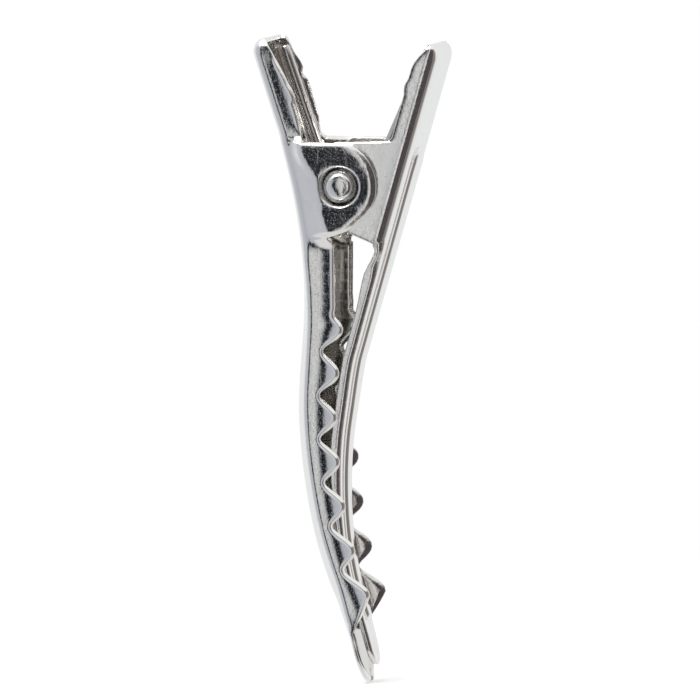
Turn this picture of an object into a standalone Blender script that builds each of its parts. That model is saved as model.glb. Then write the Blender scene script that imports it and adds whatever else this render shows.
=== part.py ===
"""Alligator hair clip: two pressed sheet-steel jaws, a pivot rivet and a torsion spring.

The clip stands tip down. The origin is the place where the closed jaws grip the hair, straight
below the pivot; +X points from the toothed jaw to the beaded jaw, and the pivot runs along Y.
Sizes are in millimetres here, and every mesh is written in metres.
"""
import math

import bmesh
import bpy

MM = 0.001

# Overall sizes
GRIP_DROP = 20.0            # from the pivot down to the place where hair is gripped
JAW_LENGTH = 34.4           # from the pivot down to the toothed tip
HANDLE_LENGTH = 10.1        # from the pivot up to the rounded end of the toothed handle
BEADED_HANDLE_SETBACK = 0.3 # how far the beaded handle stops short of the toothed one
LIP_HEIGHT = 1.3            # how far down the rounded handle ends begin
SHEET = 0.35                # thickness of both stampings
TOOTHED_BEND = 0.6          # outer radius of the bends between back and walls
BEADED_BEND = 0.85
TIP_SETBACK = 1.2           # how far the beaded tip stops short of the toothed one

# Toothed jaw
TOOTHED_WIDTH = 7.5         # outer width of its handle
EAR_SPAN = 8.8              # outer width over its ears
ROOT_HALF = 3.5             # half width at the bend line, just below the ears
NOSE_HALF = 2.05            # the same just above the spoon tip
SPOON_HALF = 2.3
SPOON_LENGTH = 3.4
SPOON_RIM = 0.45            # depth of the spoon from its back to its rim
TOOTH_PITCH = 3.05
TOOTH_COUNT = 7
TOOTH_HEIGHT = 1.18
TEETH_DEPTH = 2.46          # from the jaw's back to the middle of the first tooth's slope
TEETH_TIP_DEPTH = 2.02      # the same at the last tooth
CROWN = 0.62                # how far the ridge stands proud of the bend lines
FIRST_TOOTH = 9.9           # from the pivot down to the first tooth's point
WALL_FLARE = 0.35           # how far the teeth lean outward from the bend line
TOOTHED_HANDLE_LEAN = 0.325
TOOTHED_HANDLE_WALL = 1.6
HANDLE_PLANE_START = 3.5    # above the pivot; both handles are flat from here to the lip
TOOTHED_HANDLE_BACK = -4.37 # where the flat of the toothed handle starts

# Ears
EAR_TOP = 3.0
EAR_REACH = 2.62            # from the pivot to the round front of the toothed ear
EAR_BOTTOM = 3.55
BEADED_EAR_REACH = 2.2
EAR_FLAT_START = -1.8       # the toothed ear is flat from here on
PLAIN_WALL = -0.6           # free edge of the toothed wall between its ear and its teeth
DIMPLE_DEPTH = 0.55
DIMPLE_ROOM = 0.24          # between a rivet head and the foot of its dimple
DIMPLE_SLOPE = 0.3          # width of the dimple's sloping side
EAR_GAP = 0.1               # between a dimple and the beaded ear

# Beaded jaw
BEADED_BACK = 4.15          # back of the beaded jaw level with the pivot
BEADED_LEAN = 0.286
BEADED_HANDLE_WALL = 1.75
BEADED_LIP_TAPER = 0.9      # how much shallower that wall is at the handle's end
NOSE_FLANGE = 0.45          # how far the nose walls stand out of the web
TIP_FLANGE = 0.13
BEADED_NECK = 0.12          # the handle is this much narrower than the ears, on each side
SIDE_GAP = 0.2              # between the beaded nose and the toothed walls
STRAIGHT_SHARE = 0.35       # the beaded back is flat down to this share of the jaw
BEAD_TOP = 2.6              # above the pivot
BEAD_BOTTOM = 30.2          # below the pivot
BEAD_TOP_HALF = 1.35
BEAD_TIP_HALF = 0.6
BEAD_SLOPE = 0.45
BEAD_HEIGHT = 0.18

# Rivet and spring
PIN_RADIUS = 0.75
HEAD_BRIM = 0.13            # how far a head is wider than the pin
HEAD_STAND = 0.35           # how far a head stands out beyond the ear
HEAD_GAP = 0.05
PRESS_GAP = 0.03            # radial, rivet in the toothed ears
RUNNING_GAP = 0.08          # radial, rivet in the beaded ears
WIRE = 0.7
COIL_CLEARANCE = 0.55       # between the pin and the inside of the coil
COIL_TURNS = 4
COIL_PITCH = 0.8
LEG_SHORTFALL = 0.6         # both legs stop this far below the beaded handle's end
TOOTHED_LEG_ANGLE = math.radians(20.0)
BEADED_LEG_ANGLE = math.radians(23.5)
LEG_SPREAD = 0.6            # sideways lean of the toothed leg

# Fineness of the model
TOOTH_STEPS = 6
ROUND_STEPS = 24
COIL_STEPS = 16

# Back of the toothed jaw: (share of the jaw length below the pivot, x)
TOOTHED_BACK = (
    (0.00, -3.63), (0.09, -3.24), (0.18, -3.05), (0.27, -3.1), (0.35, -3.31), (0.44, -3.48),
    (0.52, -3.36), (0.61, -2.99), (0.70, -2.39), (0.785, -1.51), (0.85, -0.62), (0.91, 0.18),
    (0.96, 0.66), (1.00, 1.08),
)
# Room between the two closed jaws past the straight part: (share of the jaw length, room in x)
CLOSED_BITE = (
    (0.44, 2.97), (0.52, 2.48), (0.61, 2.0), (0.70, 1.56), (0.785, 1.16), (0.85, 0.94),
    (0.92, 0.7), (0.97, 0.62),
)

# Front and underside of the toothed ear: (share of its depth below the pivot, x)
EAR_UNDERSIDE = (
    (-0.2, 2.58), (0.0, EAR_REACH), (0.2, 2.54), (0.39, 2.24), (0.56, 1.77), (0.7, 1.27),
    (0.83, 0.72), (0.925, 0.0), (1.0, -0.95),
)

TOOTHED_EAR_HALF = EAR_SPAN / 2
BEADED_EAR_HALF = TOOTHED_EAR_HALF - DIMPLE_DEPTH - SHEET - EAR_GAP
BEADED_TIP = JAW_LENGTH - TIP_SETBACK
BEADED_HANDLE_TOP = HANDLE_LENGTH - BEADED_HANDLE_SETBACK
HEAD_RADIUS = PIN_RADIUS + HEAD_BRIM
DIMPLE_FLOOR_RADIUS = HEAD_RADIUS + DIMPLE_ROOM
DIMPLE_RIM_RADIUS = DIMPLE_FLOOR_RADIUS + DIMPLE_SLOPE
COIL_RADIUS = PIN_RADIUS + COIL_CLEARANCE + WIRE / 2
LAST_TOOTH = FIRST_TOOTH + (TOOTH_COUNT - 1) * TOOTH_PITCH


def blend(low, high, value):
    """A smooth step from 0 at low to 1 at high."""
    share = min(1.0, max(0.0, (value - low) / (high - low)))
    return share * share * (3.0 - 2.0 * share)


def mix(start, end, share):
    """The value at a share of the way from start to end."""
    return start + (end - start) * share


def through(points, place):
    """A smooth curve through points of rising place, with end slopes from the end points."""
    slopes = []
    for index in range(len(points)):
        before = points[max(0, index - 1)]
        after = points[min(len(points) - 1, index + 1)]
        slopes.append((after[1] - before[1]) / (after[0] - before[0]))
    for index in range(len(points) - 1):
        (x0, y0), (x1, y1) = points[index], points[index + 1]
        if place <= x1 or index == len(points) - 2:
            span = x1 - x0
            t = (place - x0) / span
            value = (2 * t ** 3 - 3 * t ** 2 + 1) * y0 + (t ** 3 - 2 * t ** 2 + t) * span * slopes[index]
            return value + (3 * t ** 2 - 2 * t ** 3) * y1 + (t ** 3 - t ** 2) * span * slopes[index + 1]
    return points[-1][1]


def toothed_back(height):
    """x of the toothed jaw's outer face on the mid-plane, at a height above the pivot."""
    if height >= HANDLE_PLANE_START:
        return TOOTHED_HANDLE_BACK - TOOTHED_HANDLE_LEAN * (height - HANDLE_PLANE_START)
    top = ((-HANDLE_PLANE_START / JAW_LENGTH, TOOTHED_HANDLE_BACK),)
    return through(top + TOOTHED_BACK, -height / JAW_LENGTH)


def beaded_back(height):
    """x of the beaded jaw's outer face on the mid-plane, without its bead."""
    share = -height / JAW_LENGTH
    if share <= STRAIGHT_SHARE:
        return BEADED_BACK + BEADED_LEAN * height
    points = []
    for place in (STRAIGHT_SHARE - 0.08, STRAIGHT_SHARE):
        points.append((place, BEADED_BACK - BEADED_LEAN * place * JAW_LENGTH))
    for place, room in CLOSED_BITE:
        points.append((place, toothed_back(-place * JAW_LENGTH) + 2 * SHEET + room))
    return through(points, share)


def toothed_bend_half(height):
    """Half width of the toothed jaw at its bend line."""
    handle = TOOTHED_WIDTH / 2
    if height >= -EAR_BOTTOM - 2.0:
        return mix(ROOT_HALF, handle, blend(-EAR_BOTTOM - 2.0, EAR_TOP, height))
    spoon_start = -JAW_LENGTH + SPOON_LENGTH
    share = (-EAR_BOTTOM - 2.0 - height) / (-EAR_BOTTOM - 2.0 - spoon_start)
    nose = mix(ROOT_HALF, NOSE_HALF, min(1.0, share))
    radius = SPOON_LENGTH * 0.62
    if height < spoon_start:
        nose = mix(NOSE_HALF, SPOON_HALF, blend(0.0, SPOON_LENGTH - radius, spoon_start - height))
    return nose * tip_round(height + JAW_LENGTH, radius)


def tip_round(distance, radius):
    """Share of the full width left at a distance from a rounded tip."""
    if distance >= radius:
        return 1.0
    return max(0.18, math.sqrt(max(0.0, 1.0 - (1.0 - distance / radius) ** 2)))


def beaded_half(height):
    """Half width of the beaded jaw's wall."""
    step_top, step_bottom = -EAR_BOTTOM, -EAR_BOTTOM - 2.0
    if height >= step_top:
        return mix(BEADED_EAR_HALF, BEADED_EAR_HALF - BEADED_NECK, blend(EAR_TOP, EAR_TOP + 1.5, height))
    share = (step_bottom - height) / (step_bottom + JAW_LENGTH - SPOON_LENGTH)
    nose = mix(ROOT_HALF, NOSE_HALF, max(0.0, share)) - SHEET - SIDE_GAP
    nose = mix(nose, BEADED_EAR_HALF, blend(step_bottom, step_top, height))
    return nose * tip_round(height + BEADED_TIP, nose * 1.1)


def crown(height):
    """How far the bend line lies behind the ridge of the toothed jaw."""
    rise = CROWN * blend(HANDLE_PLANE_START, -12.0, height)
    return mix(0.3, rise, blend(-JAW_LENGTH + SPOON_LENGTH, -LAST_TOOTH + 1.2, height))


def ridge_half(height):
    """Half width of the flat or ridge in the middle of the toothed jaw."""
    flat = TOOTHED_WIDTH / 2 - 0.7
    narrow = mix(flat, 0.85, blend(HANDLE_PLANE_START, -9.0, height))
    wide = toothed_bend_half(height) * 0.72
    return mix(narrow, wide, blend(-LAST_TOOTH - 0.5, -JAW_LENGTH + SPOON_LENGTH, height))


def toothed_edge(height):
    """x of the toothed jaw's free edge: handle wall, ear, plain wall, teeth, then spoon rim."""
    back = toothed_back(height)
    if height > EAR_TOP:
        return back + TOOTHED_HANDLE_WALL
    if height >= -EAR_BOTTOM:
        return toothed_ear_front(height)
    plain = mix(PLAIN_WALL, toothed_ear_front(-EAR_BOTTOM), blend(-EAR_BOTTOM - 0.5, -EAR_BOTTOM, height))
    depth = mix(TEETH_DEPTH, TEETH_TIP_DEPTH, (-height - FIRST_TOOTH) / (LAST_TOOTH - FIRST_TOOTH))
    wave = math.cos(2 * math.pi * (-height - FIRST_TOOTH) / TOOTH_PITCH)
    teeth = back + depth + wave * TOOTH_HEIGHT / 2
    if height > -FIRST_TOOTH - TOOTH_PITCH / 2:
        start = blend(-FIRST_TOOTH + TOOTH_PITCH * 0.5, -FIRST_TOOTH, height)
        return mix(plain, teeth, start)
    if height > -LAST_TOOTH:
        return teeth
    spoon_start = -JAW_LENGTH + SPOON_LENGTH
    if height > spoon_start:
        share = (-LAST_TOOTH - height) / (-LAST_TOOTH - spoon_start)
        return back + mix(TEETH_TIP_DEPTH + TOOTH_HEIGHT / 2, SPOON_RIM, share)
    return back + mix(SPOON_RIM, SPOON_RIM - 0.15, (spoon_start - height) / SPOON_LENGTH)


def toothed_ear_front(height):
    """Front edge of the toothed ear: an oval above the pivot, then a rounded underside."""
    if height >= 0.0:
        centre = -0.1
        return centre + (EAR_REACH - centre) * math.sqrt(1.0 - (height / (EAR_TOP + 0.02)) ** 2)
    return through(EAR_UNDERSIDE, -height / EAR_BOTTOM)


def beaded_edge(height):
    """x of the beaded jaw's free edge: handle wall, round ear, notch, then a shallow nose wall."""
    back = beaded_back(height)
    if height > EAR_TOP:
        return back - BEADED_HANDLE_WALL + BEADED_LIP_TAPER * blend(8.0, 10.0, height)
    ear_low = -EAR_TOP + 0.5
    if height >= ear_low:
        return beaded_ear_front(height)
    corner, notch = -EAR_BOTTOM - 0.4, -EAR_BOTTOM - 1.0
    if height >= corner:
        share = (ear_low - height) / (ear_low - corner)
        return mix(beaded_ear_front(ear_low), beaded_back(corner) - 0.9, share)
    wall = SHEET + mix(TIP_FLANGE, NOSE_FLANGE, blend(-0.75 * BEADED_TIP, -0.55 * BEADED_TIP, height))
    wall = mix(wall, 0.95, blend(-9.0, notch - 1.6, height))
    wall = mix(wall, 0.62, blend(notch - 1.6, notch, height))
    return back - mix(wall, 0.9, blend(notch, corner, height))


def beaded_ear_front(height):
    """The round side of the beaded ear, hidden behind the toothed one."""
    centre = 0.35
    return centre - (BEADED_EAR_REACH + centre) * math.sqrt(1.0 - (height / (EAR_TOP + 0.1)) ** 2)


def bead_half(height):
    """Half width of the bead's outline at a height, zero above and below it."""
    share = (BEAD_TOP - height) / (BEAD_TOP + BEAD_BOTTOM)
    if share <= 0.0 or share >= 1.0:
        return 0.0
    half = mix(BEAD_TOP_HALF, BEAD_TIP_HALF, share)
    end = min(BEAD_TOP - height, height + BEAD_BOTTOM)
    if end < half:
        half = half * math.sqrt(max(0.0, 1.0 - (1.0 - end / half) ** 2))
    return half


def lip(height, top, wall):
    """How far the web has turned in towards the free edge at the rounded handle end."""
    start = top - LIP_HEIGHT
    if height <= start:
        return 0.0
    rise = min(1.0, (height - start) / LIP_HEIGHT)
    return wall * (1.0 - math.sqrt(1.0 - rise * rise)) * 0.94


def bend_corner(back_x, half, towards, radius):
    """Three points round a bend from the web to the wall; towards is +1 or -1 along x."""
    points = []
    for angle in (15.0, 45.0, 75.0):
        turn = math.radians(angle)
        points.append((back_x + towards * radius * (1 - math.cos(turn)),
                       half - radius * (1 - math.sin(turn))))
    return points


def toothed_row(height):
    """Half cross-section of the toothed jaw: ridge, slope, bend, then wall to the free edge."""
    turned_in = lip(height, HANDLE_LENGTH, TOOTHED_HANDLE_WALL)
    back = toothed_back(height) + turned_in
    half = toothed_bend_half(height)
    edge = toothed_edge(height)
    bend_x = back + crown(height)
    room = max(0.06, edge - bend_x)
    radius = min(TOOTHED_BEND, room * 0.6, half * 0.3)
    ridge = min(ridge_half(height), half - radius * 1.05)
    points = [(back, 0.0), (back, ridge * 0.5), (back, ridge)]
    points += [(mix(back, bend_x, 0.5), mix(ridge, half - radius, 0.5))]
    points += bend_corner(bend_x, half, 1, radius)
    lean = WALL_FLARE * blend(-EAR_BOTTOM, -EAR_BOTTOM - 3.0, height)
    lean *= 1.0 - blend(-LAST_TOOTH - 1.0, -JAW_LENGTH + SPOON_LENGTH, height)
    bulge = TOOTHED_EAR_HALF - half
    in_ear = blend(EAR_TOP + 0.4, EAR_TOP - 0.5, height) * blend(-EAR_BOTTOM - 1.2, -EAR_BOTTOM + 0.8, height)
    start_x = bend_x + radius
    for step in range(1, 7):
        share = step / 6
        x = mix(start_x, max(edge, start_x + 0.05), share)
        y = half + lean * share * min(1.0, room / 1.2)
        y += bulge * in_ear * blend(start_x - 0.2, EAR_FLAT_START, x)
        points.append((x, y))
    return points


def beaded_row(height):
    """Half cross-section of the beaded jaw: bead, flat web, bend, then wall to the free edge."""
    turned_in = lip(height, BEADED_HANDLE_TOP, BEADED_HANDLE_WALL)
    back = beaded_back(height) - turned_in
    half = beaded_half(height)
    edge = beaded_edge(height)
    radius = min(BEADED_BEND, max(0.08, (back - edge) * 0.6), half * 0.3)
    outer = bead_half(height)
    inner = max(0.0, outer - BEAD_SLOPE)
    rise = BEAD_HEIGHT * min(1.0, outer / BEAD_SLOPE)
    flat_end = half - radius * 1.05
    outer = max(outer, flat_end * 0.25)
    points = [(back + rise, 0.0), (back + rise, max(inner, outer * 0.3)), (back, outer)]
    points += [(back, mix(outer, flat_end, 0.5))]
    points += bend_corner(back, half, -1, radius)
    start_x = back - radius
    for step in range(1, 7):
        x = mix(start_x, min(edge, start_x - 0.05), step / 6)
        points.append((x, half))
    return points


def stations(top, tip, teeth):
    """Heights of the rows, from the rounded handle end down to a tip."""
    heights = [top - LIP_HEIGHT * (1 - math.sin(math.radians(a))) for a in (90, 70, 52, 35, 18, 0)]
    heights += [mix(heights[-1], EAR_TOP + 0.25, k / 3) for k in (1, 2)]
    heights += [EAR_TOP + 0.14, EAR_TOP - 0.02]
    heights += [EAR_TOP * math.cos(math.radians(a)) for a in (22, 38, 54, 70, 90)]
    heights += [-0.8, -1.6, -2.2, -2.68, -3.1, -EAR_BOTTOM, -EAR_BOTTOM - 0.7, -5.2, -6.6]
    first = -FIRST_TOOTH + TOOTH_PITCH * 0.5 if teeth else -EAR_BOTTOM - 4.6
    last = -LAST_TOOTH if teeth else -tip + 4.0
    count = int(round((first - last) / (TOOTH_PITCH / TOOTH_STEPS if teeth else 1.6)))
    heights += [mix(first, last, k / count) for k in range(count + 1)]
    end = SPOON_LENGTH if teeth else 2.0
    heights += [mix(last, -tip + end, k / 3) for k in (1, 2, 3)]
    heights += [-tip + end * (1 - math.sin(math.radians(a))) for a in (15, 30, 45, 60, 74, 90)]
    return heights


def new_collection(name):
    """A new collection linked to the scene."""
    collection = bpy.data.collections.new(name)
    bpy.context.scene.collection.children.link(collection)
    return collection


def metal(name, colour, roughness):
    """A Principled material for a bright plated part."""
    material = bpy.data.materials.new(name)
    material.use_nodes = True
    shader = material.node_tree.nodes["Principled BSDF"]
    shader.inputs["Base Color"].default_value = (*colour, 1.0)
    shader.inputs["Metallic"].default_value = 1.0
    shader.inputs["Roughness"].default_value = roughness
    return material


def add_object(name, data, collection, material=None):
    """Put a mesh or curve in a collection as a named object with its origin on the pivot."""
    piece = bpy.data.objects.new(name, data)
    piece.location = (0.0, 0.0, GRIP_DROP * MM)
    collection.objects.link(piece)
    if material:
        data.materials.append(material)
    return piece


def lofted_half(name, heights, row, outward):
    """A half surface through cross-sections; outward is -1 or +1, the side its back faces."""
    work = bmesh.new()
    grid = []
    for height in heights:
        grid.append([work.verts.new((x * MM, y * MM, height * MM)) for x, y in row(height)])
    for upper, lower in zip(grid, grid[1:]):
        for column in range(len(upper) - 1):
            face = [upper[column], lower[column], lower[column + 1], upper[column + 1]]
            work.faces.new(face if outward > 0 else face[::-1])
    mesh = bpy.data.meshes.new(name)
    work.to_mesh(mesh)
    work.free()
    return mesh


def sheet_metal(piece):
    """Mirror a half surface across the mid-plane and give it its thickness inwards."""
    mirror = piece.modifiers.new("other_half", "MIRROR")
    mirror.use_axis = (False, True, False)
    mirror.use_clip = True
    mirror.merge_threshold = 0.00001
    solid = piece.modifiers.new("sheet", "SOLIDIFY")
    solid.thickness = SHEET * MM
    solid.offset = -1.0
    solid.use_even_offset = True


def turned(name, profile, side, collection, material=None):
    """A turned solid on the pivot; profile is (radius, distance along Y) from its outer end in."""
    work = bmesh.new()
    verts = [work.verts.new((radius * MM, 0.0, along * MM)) for radius, along in profile]
    for start, end in zip(verts, verts[1:]):
        work.edges.new((start, end))
    mesh = bpy.data.meshes.new(name)
    work.to_mesh(mesh)
    work.free()
    piece = add_object(name, mesh, collection, material)
    piece.rotation_euler = (-side * math.pi / 2, 0.0, 0.0)
    screw = piece.modifiers.new("turn", "SCREW")
    screw.steps = ROUND_STEPS
    screw.render_steps = ROUND_STEPS
    screw.use_merge_vertices = True
    screw.merge_threshold = 0.00001
    return piece


def combine(piece, other, operation):
    """Join or cut a piece with a guide solid."""
    step = piece.modifiers.new(other.name, "BOOLEAN")
    step.operation = operation
    step.object = other
    step.solver = "EXACT"
    other.hide_render = True
    other.display_type = "WIRE"


def smooth(piece):
    """Smooth shading with crisp sheared edges."""
    piece.data.shade_smooth()
    piece.data.set_sharp_from_angle(angle=math.radians(35))


def build_toothed_jaw(parts, guides):
    """The wider jaw: crowned back, dimpled ears and rounded teeth."""
    heights = stations(HANDLE_LENGTH, JAW_LENGTH, True)
    mesh = lofted_half("toothed_jaw", heights, toothed_row, -1)
    piece = add_object("toothed_jaw", mesh, parts, metal("toothed_plating", (0.78, 0.77, 0.75), 0.16))
    sheet_metal(piece)
    outer = TOOTHED_EAR_HALF
    floor = outer - DIMPLE_DEPTH
    wall = 0.2
    for side, label in ((-1, "near"), (1, "far")):
        boss = turned("dimple_boss_" + label, [
            (0.0, outer - 0.08), (DIMPLE_RIM_RADIUS + wall, outer - 0.08),
            (DIMPLE_RIM_RADIUS + wall, outer - SHEET), (DIMPLE_FLOOR_RADIUS + wall, floor - SHEET),
            (0.0, floor - SHEET)], side, guides)
        combine(piece, boss, "UNION")
        recess = turned("dimple_recess_" + label, [
            (0.0, outer + 0.3), (DIMPLE_RIM_RADIUS + 0.1, outer + 0.3), (DIMPLE_RIM_RADIUS, outer),
            (DIMPLE_FLOOR_RADIUS, floor), (0.0, floor)], side, guides)
        combine(piece, recess, "DIFFERENCE")
    hole = PIN_RADIUS + PRESS_GAP
    bore = turned("toothed_pin_hole", [
        (0.0, outer + 1.0), (hole, outer + 1.0), (hole, -outer - 1.0), (0.0, -outer - 1.0)], 1, guides)
    combine(piece, bore, "DIFFERENCE")
    smooth(piece)


def build_beaded_jaw(parts, guides):
    """The narrower jaw: flat back with a long bead, plain ears and a shallow nose."""
    heights = stations(BEADED_HANDLE_TOP, BEADED_TIP, False)
    mesh = lofted_half("beaded_jaw", heights, beaded_row, 1)
    piece = add_object("beaded_jaw", mesh, parts, metal("beaded_plating", (0.79, 0.78, 0.76), 0.15))
    sheet_metal(piece)
    hole = PIN_RADIUS + RUNNING_GAP
    reach = BEADED_EAR_HALF + 1.0
    bore = turned("beaded_pin_hole", [(0.0, reach), (hole, reach), (hole, -reach), (0.0, -reach)], 1, guides)
    combine(piece, bore, "DIFFERENCE")
    smooth(piece)


def build_rivet(parts):
    """The pivot pin with a domed head formed in each dimple."""
    seat = TOOTHED_EAR_HALF - DIMPLE_DEPTH + HEAD_GAP
    crest = TOOTHED_EAR_HALF + HEAD_STAND
    brim = seat + 0.3
    dome = []
    for angle in (90, 70, 50, 30, 12):
        turn = math.radians(angle)
        dome.append((HEAD_RADIUS * math.cos(turn), brim + (crest - brim) * math.sin(turn)))
    dome[0] = (0.0, crest)
    half = dome + [(HEAD_RADIUS, brim), (HEAD_RADIUS, seat), (PIN_RADIUS, seat)]
    profile = half + [(radius, -along) for radius, along in reversed(half)]
    piece = turned("pivot_rivet", profile, 1, parts, metal("rivet_steel", (0.8, 0.79, 0.77), 0.14))
    smooth(piece)


def spring_path():
    """Centre line of the spring: leg in the toothed handle, coil, leg in the beaded handle."""
    first = math.pi + TOOTHED_LEG_ANGLE
    last = -BEADED_LEG_ANGLE - 2 * math.pi * COIL_TURNS
    sweep = first - last
    half_width = COIL_PITCH * sweep / (4 * math.pi)
    leg_top = BEADED_HANDLE_TOP - LEG_SHORTFALL
    path = []
    for share in (1.0, 0.66, 0.33):
        foot = COIL_RADIUS * math.sin(first)
        rise = (leg_top - foot) * share
        path.append((COIL_RADIUS * math.cos(first) - rise * math.tan(TOOTHED_LEG_ANGLE),
                     half_width + LEG_SPREAD * share, foot + rise))
    count = int(sweep / (2 * math.pi) * COIL_STEPS)
    for step in range(count + 1):
        angle = mix(first, last, step / count)
        path.append((COIL_RADIUS * math.cos(angle), mix(half_width, -half_width, step / count),
                     COIL_RADIUS * math.sin(angle)))
    for share in (0.33, 0.66, 1.0):
        foot = COIL_RADIUS * math.sin(last)
        rise = (leg_top - foot) * share
        path.append((COIL_RADIUS * math.cos(last) + rise * math.tan(BEADED_LEG_ANGLE), -half_width,
                     foot + rise))
    return path


def build_spring(parts):
    """The torsion spring, a bent wire round the pivot rivet."""
    curve = bpy.data.curves.new("torsion_spring", "CURVE")
    curve.dimensions = "3D"
    curve.bevel_depth = WIRE / 2 * MM
    curve.bevel_resolution = 2
    curve.render_resolution_u = 0
    curve.use_fill_caps = True
    path = spring_path()
    spline = curve.splines.new("POLY")
    spline.points.add(len(path) - 1)
    for point, (x, y, z) in zip(spline.points, path):
        point.co = (x * MM, y * MM, z * MM, 1.0)
    add_object("torsion_spring", curve, parts, metal("spring_wire", (0.62, 0.61, 0.6), 0.22))


def main():
    """Build the clip."""
    for old in list(bpy.data.objects):
        bpy.data.objects.remove(old, do_unlink=True)
    parts = new_collection("alligator_hair_clip")
    guides = new_collection("cutters")
    build_toothed_jaw(parts, guides)
    build_beaded_jaw(parts, guides)
    build_rivet(parts)
    build_spring(parts)


main()
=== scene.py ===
"""Looks of the alligator hair clip: two plated sheet-steel jaws, a pivot rivet and a torsion spring.

Sizes are in millimetres measured from the pivot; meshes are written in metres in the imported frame.
"""

import logging
import math
from dataclasses import dataclass
from enum import Enum

import bpy
import numpy as np
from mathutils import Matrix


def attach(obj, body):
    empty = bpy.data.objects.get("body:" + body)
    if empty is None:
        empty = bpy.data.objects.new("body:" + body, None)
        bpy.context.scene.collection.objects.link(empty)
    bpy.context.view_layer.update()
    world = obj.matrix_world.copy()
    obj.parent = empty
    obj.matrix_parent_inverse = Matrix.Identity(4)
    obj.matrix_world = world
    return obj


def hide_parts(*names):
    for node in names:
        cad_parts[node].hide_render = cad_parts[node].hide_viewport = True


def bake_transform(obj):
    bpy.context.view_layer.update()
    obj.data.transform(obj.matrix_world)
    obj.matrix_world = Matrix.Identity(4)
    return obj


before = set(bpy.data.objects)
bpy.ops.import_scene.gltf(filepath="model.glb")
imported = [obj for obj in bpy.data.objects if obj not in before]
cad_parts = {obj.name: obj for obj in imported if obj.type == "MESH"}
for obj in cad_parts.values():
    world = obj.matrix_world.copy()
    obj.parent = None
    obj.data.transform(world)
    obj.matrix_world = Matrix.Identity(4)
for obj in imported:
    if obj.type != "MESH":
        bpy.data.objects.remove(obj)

LOG = logging.getLogger("hair_clip")
MM = 0.001
Array = np.ndarray
Points = tuple[tuple[float, float], ...]


# ---------------------------------------------------------------- numbers and curves

def step(low: float | Array, high: float | Array, value: float | Array) -> Array:
    """A smooth step.

    Args:
        low: where it is 0.
        high: where it is 1; it may lie below low.
        value: the place, or an array of places.
    Returns:
        3t^2 - 2t^3, with t the share of the way from low to high, held between 0 and 1.
    """
    share = np.clip((np.asarray(value, float) - low) / (high - low), 0.0, 1.0)
    return share * share * (3.0 - 2.0 * share)


def mix(start: float | Array, end: float | Array, share: float | Array) -> Array:
    """The value at a share of the way from start to end."""
    return start + (end - start) * share


def ramp(low: float | Array, high: float | Array, soft: float, value: Array) -> Array:
    """A straight rise from 0 to 1 with rounded corners.

    Args:
        low: where the rise starts.
        high: where it ends.
        soft: radius-like size of its rounded corners.
        value: places.
    Returns:
        (h(value - low) - h(value - high)) / (high - low), where h(u) = (u + sqrt(u^2 + soft^2)) / 2.
    """
    first, last = value - low, value - high
    rise = first + np.sqrt(first * first + soft * soft) - last - np.sqrt(last * last + soft * soft)
    return rise / (2.0 * (high - low))


def through(points: Points, place: float | Array) -> Array:
    """A smooth curve through points.

    Args:
        points: (place, value) pairs of rising place.
        place: where to read the curve.
    Returns:
        The cubic Hermite curve whose slope at each point is that of the line between its neighbours.
    """
    known, values = np.array(points, float).T
    slopes = np.gradient(values, known)
    slopes[1:-1] = (values[2:] - values[:-2]) / (known[2:] - known[:-2])
    place = np.asarray(place, float)
    index = np.clip(np.searchsorted(known, place) - 1, 0, len(known) - 2)
    span = known[index + 1] - known[index]
    t = (place - known[index]) / span
    start = (2 * t**3 - 3 * t**2 + 1) * values[index] + (t**3 - 2 * t**2 + t) * span * slopes[index]
    return start + (3 * t**2 - 2 * t**3) * values[index + 1] + (t**3 - t**2) * span * slopes[index + 1]


def unit(vectors: Array) -> Array:
    """Vectors scaled to length 1."""
    return vectors / np.maximum(np.linalg.norm(vectors, axis=-1, keepdims=True), 1e-12)


def lines(*stretches: tuple[float, float, float]) -> Array:
    """Rising or falling places with a chosen spacing.

    Args:
        stretches: (start, end, spacing) of each stretch, each starting where the one before ends.
    Returns:
        All places, each once.
    """
    found = [np.array([stretches[0][0]])]
    for start, end, spacing in stretches:
        count = max(1, round(abs(end - start) / spacing))
        found.append(np.linspace(start, end, count + 1)[1:])
    return np.concatenate(found)


# ---------------------------------------------------------------- meshes

def new_piece(name: str, points: Array, faces: Array, marks: dict[str, Array]) -> bpy.types.Object:
    """Make an object from whole arrays.

    Args:
        name: the piece's name.
        points: (n, 3) in millimetres from the pivot.
        faces: (m, 4) point numbers, anticlockwise from outside.
        marks: point attributes that the finish reads, each of n numbers.
    Returns:
        The object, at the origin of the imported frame.
    """
    mesh = bpy.data.meshes.new(name)
    place = np.array([0.0, 0.0, ClipSizes.grip_drop])
    mesh.from_pydata(((points + place) * MM).tolist(), [], faces.tolist())
    for mark, values in marks.items():
        attribute = mesh.attributes.new(mark, "FLOAT", "POINT")
        attribute.data.foreach_set("value", np.asarray(values, np.float32))
    mesh.shade_smooth()
    mesh.update()
    piece = bpy.data.objects.new(name, mesh)
    bpy.context.scene.collection.objects.link(piece)
    return piece


def grid_faces(rows: int, columns: int) -> Array:
    """The quads of a grid of points numbered row by row, as ((rows - 1) * (columns - 1), 4)."""
    corner = (np.arange(rows - 1)[:, None] * columns + np.arange(columns - 1)[None, :]).ravel()
    return np.stack([corner, corner + columns, corner + columns + 1, corner + 1], axis=1)


def border_of(faces: Array) -> Array:
    """The directed edges that only one face has, as (k, 2)."""
    edges = np.concatenate([faces[:, [i, (i + 1) % 4]] for i in range(4)])
    _, index, count = np.unique(np.sort(edges, axis=1), axis=0, return_inverse=True, return_counts=True)
    return edges[count[index.reshape(-1)] == 1]


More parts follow.
